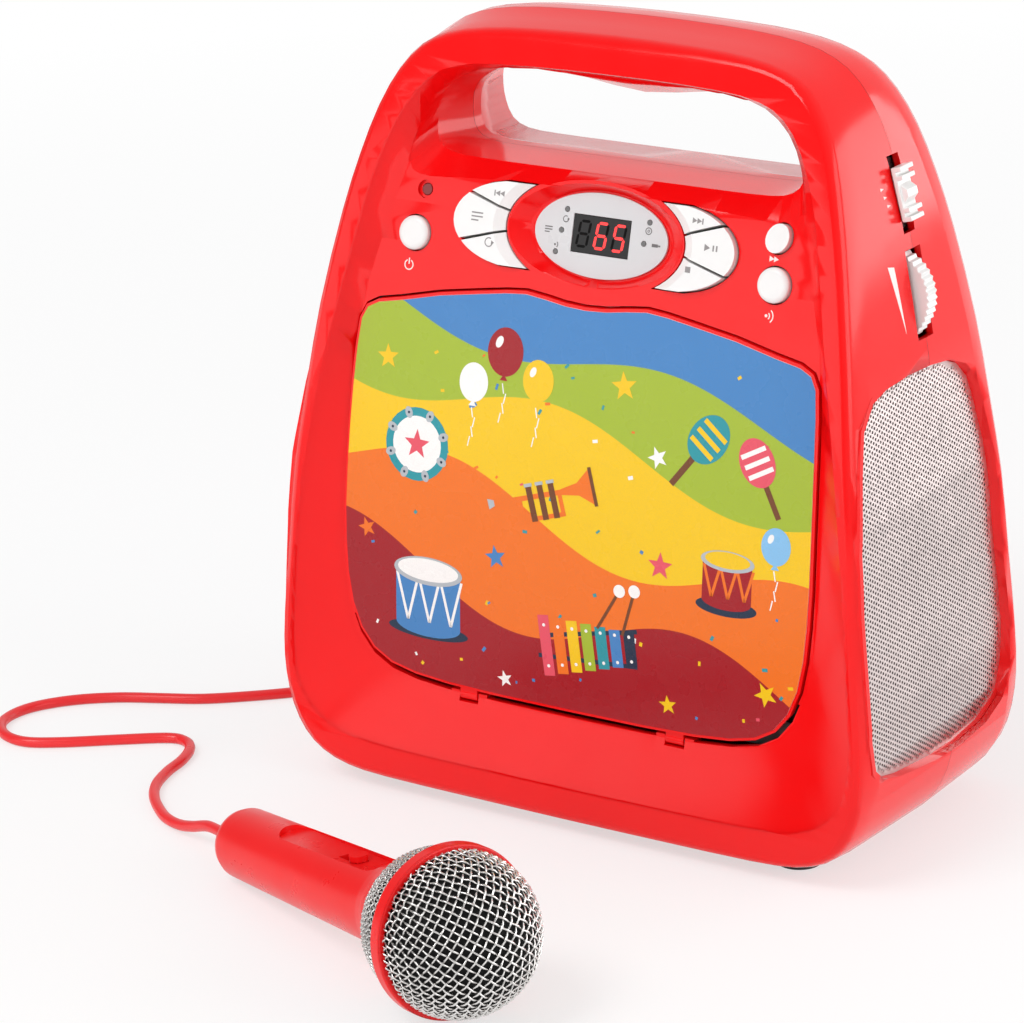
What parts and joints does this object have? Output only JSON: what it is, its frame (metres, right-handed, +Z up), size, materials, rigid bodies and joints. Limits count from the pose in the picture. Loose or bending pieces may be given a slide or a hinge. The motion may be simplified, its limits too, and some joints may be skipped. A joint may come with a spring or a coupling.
{
  "type": "karaoke machine",
  "caption": "Portable karaoke machine: hollow case with a carrying handle, hinged disc door, keys, display, side speakers and a corded ball microphone.",
  "frame": {"origin": "on the table under the middle of the case's base", "axes": "+X to the right seen from the front, the front faces -Y, +Z up"},
  "size_m": [0.3609, 0.359, 0.28],
  "materials": {
    "red_shell": "polished",
    "white_key": "satin",
    "grey_bezel": "satin",
    "black_display": "polished",
    "light": "satin",
    "dark_red_lens": "polished",
    "print": "satin",
    "steel": "satin",
    "grille_metal": "satin",
    "mesh_metal": "satin",
    "black_plastic": "matte",
    "board": "satin",
    "cone": "matte",
    "rubber_black": "matte",
    "cord_red": "satin"
  },
  "bodies": {
    "case": {"front_shell": "red_shell", "rear_shell": "red_shell", "door_hinge_pins": "steel", "door_catch": "white_key", "display_bezel": "grey_bezel", "display_block": "black_display", "indicator_lights": "light", "power_light": "dark_red_lens", "control_board": "board", "function_switch": "black_plastic", "volume_control": "black_plastic", "grille_right": "grille_metal", "grille_left": "grille_metal", "speaker_right": "cone", "speaker_left": "cone", "disc_well": "black_plastic", "drive_plate": "steel", "spindle_motor": "steel", "guide_rods": "steel", "sled_motor": "steel", "main_board": "board", "battery_box": "black_plastic", "battery_contacts": "steel", "mic_socket": "black_plastic", "power_inlet": "black_plastic", "usb_socket": "steel", "case_screws": "steel", "rubber_feet": "rubber_black", "mic_handle": "red_shell", "mic_ring": "red_shell", "mic_mesh": "mesh_metal", "mic_capsule": "black_plastic", "mic_cord": "cord_red", "mic_cord_coil": "cord_red", "mic_plug": "black_plastic"},
    "door": {"cd_door": "red_shell", "door_print": "print"},
    "function_slider": {"function_knob": "white_key"},
    "volume": {"volume_wheel": "white_key"},
    "spindle": {"turntable": "black_plastic"},
    "sled": {"laser_sled": "black_plastic"},
    "pinion": {"sled_pinion": "white_key"},
    "battery_cover": {"battery_door": "red_shell"},
    "mic_switch": {"mic_switch_knob": "red_shell"},
    "key_power_body": {"key_power": "white_key"},
    "key_pairing_body": {"key_pairing": "white_key"},
    "key_skip_body": {"key_skip": "white_key"},
    "key_previous_body": {"key_previous": "white_key"},
    "key_programme_body": {"key_programme": "white_key"},
    "key_repeat_body": {"key_repeat": "white_key"},
    "key_next_body": {"key_next": "white_key"},
    "key_play_body": {"key_play": "white_key"},
    "key_stop_body": {"key_stop": "white_key"}
  },
  "joints": [
    {"name": "door_hinge", "type": "hinge", "parent": "case", "child": "door", "pos_m": [0, -0.04949, 0.0422], "axis": [1, 0, 0], "range_deg": [0, 55]},
    {"name": "key_power_press", "type": "slide", "parent": "case", "child": "key_power_body", "axis": [0, 0.9705, -0.241], "range_m": [0, 0.0012], "stiffness_N_per_m": 300, "springref_m": -0.0008},
    {"name": "key_pairing_press", "type": "slide", "parent": "case", "child": "key_pairing_body", "axis": [0, 0.9705, -0.241], "range_m": [0, 0.0012], "stiffness_N_per_m": 300, "springref_m": -0.0008},
    {"name": "key_skip_press", "type": "slide", "parent": "case", "child": "key_skip_body", "axis": [0, 0.9645, -0.264], "range_m": [0, 0.0012], "stiffness_N_per_m": 300, "springref_m": -0.0008},
    {"name": "key_previous_press", "type": "slide", "parent": "case", "child": "key_previous_body", "axis": [0, 0.9676, -0.2523], "range_m": [0, 0.0012], "stiffness_N_per_m": 300, "springref_m": -0.0008},
    {"name": "key_programme_press", "type": "slide", "parent": "case", "child": "key_programme_body", "axis": [0, 0.9676, -0.2523], "range_m": [0, 0.0012], "stiffness_N_per_m": 300, "springref_m": -0.0008},
    {"name": "key_repeat_press", "type": "slide", "parent": "case", "child": "key_repeat_body", "axis": [0, 0.9676, -0.2523], "range_m": [0, 0.0012], "stiffness_N_per_m": 300, "springref_m": -0.0008},
    {"name": "key_next_press", "type": "slide", "parent": "case", "child": "key_next_body", "axis": [0, 0.9676, -0.2523], "range_m": [0, 0.0012], "stiffness_N_per_m": 300, "springref_m": -0.0008},
    {"name": "key_play_press", "type": "slide", "parent": "case", "child": "key_play_body", "axis": [0, 0.9676, -0.2523], "range_m": [0, 0.0012], "stiffness_N_per_m": 300, "springref_m": -0.0008},
    {"name": "key_stop_press", "type": "slide", "parent": "case", "child": "key_stop_body", "axis": [0, 0.9676, -0.2523], "range_m": [0, 0.0012], "stiffness_N_per_m": 300, "springref_m": -0.0008},
    {"name": "function_slide", "type": "slide", "parent": "case", "child": "function_slider", "axis": [-0.2565, 0, 0.9665], "range_m": [-0.00285, 0.00285]},
    {"name": "volume_turn", "type": "hinge", "parent": "case", "child": "volume", "pos_m": [0.09357, 0.005, 0.19391], "axis": [0, 1, 0], "range_deg": [0, 270]},
    {"name": "turntable_spin", "type": "hinge", "parent": "case", "child": "spindle", "pos_m": [0, -0.04731, 0.11338], "axis": [0, -0.9946, 0.1033], "continuous": true},
    {"name": "sled_slide", "type": "slide", "parent": "case", "child": "sled", "axis": [0, -0.1033, -0.9946], "range_m": [0, 0.034]},
    {"name": "pinion_turn", "type": "hinge", "parent": "case", "child": "pinion", "pos_m": [0.0272, -0.03052, 0.08147], "axis": [0, -0.9946, 0.1033], "range_deg": [0, 490]},
    {"name": "battery_door_open", "type": "hinge", "parent": "case", "child": "battery_cover", "pos_m": [0, 0.06302, 0.013], "axis": [1, 0, 0], "range_deg": [-75, 0]},
    {"name": "mic_switch_slide", "type": "slide", "parent": "case", "child": "mic_switch", "axis": [-0.905, 0.4067, -0.1249], "range_m": [0, 0.006]}
  ],
  "couplings": [
    {"joint": "pinion_turn", "follows": "sled_slide", "rad_per_m": 250}
  ]
}
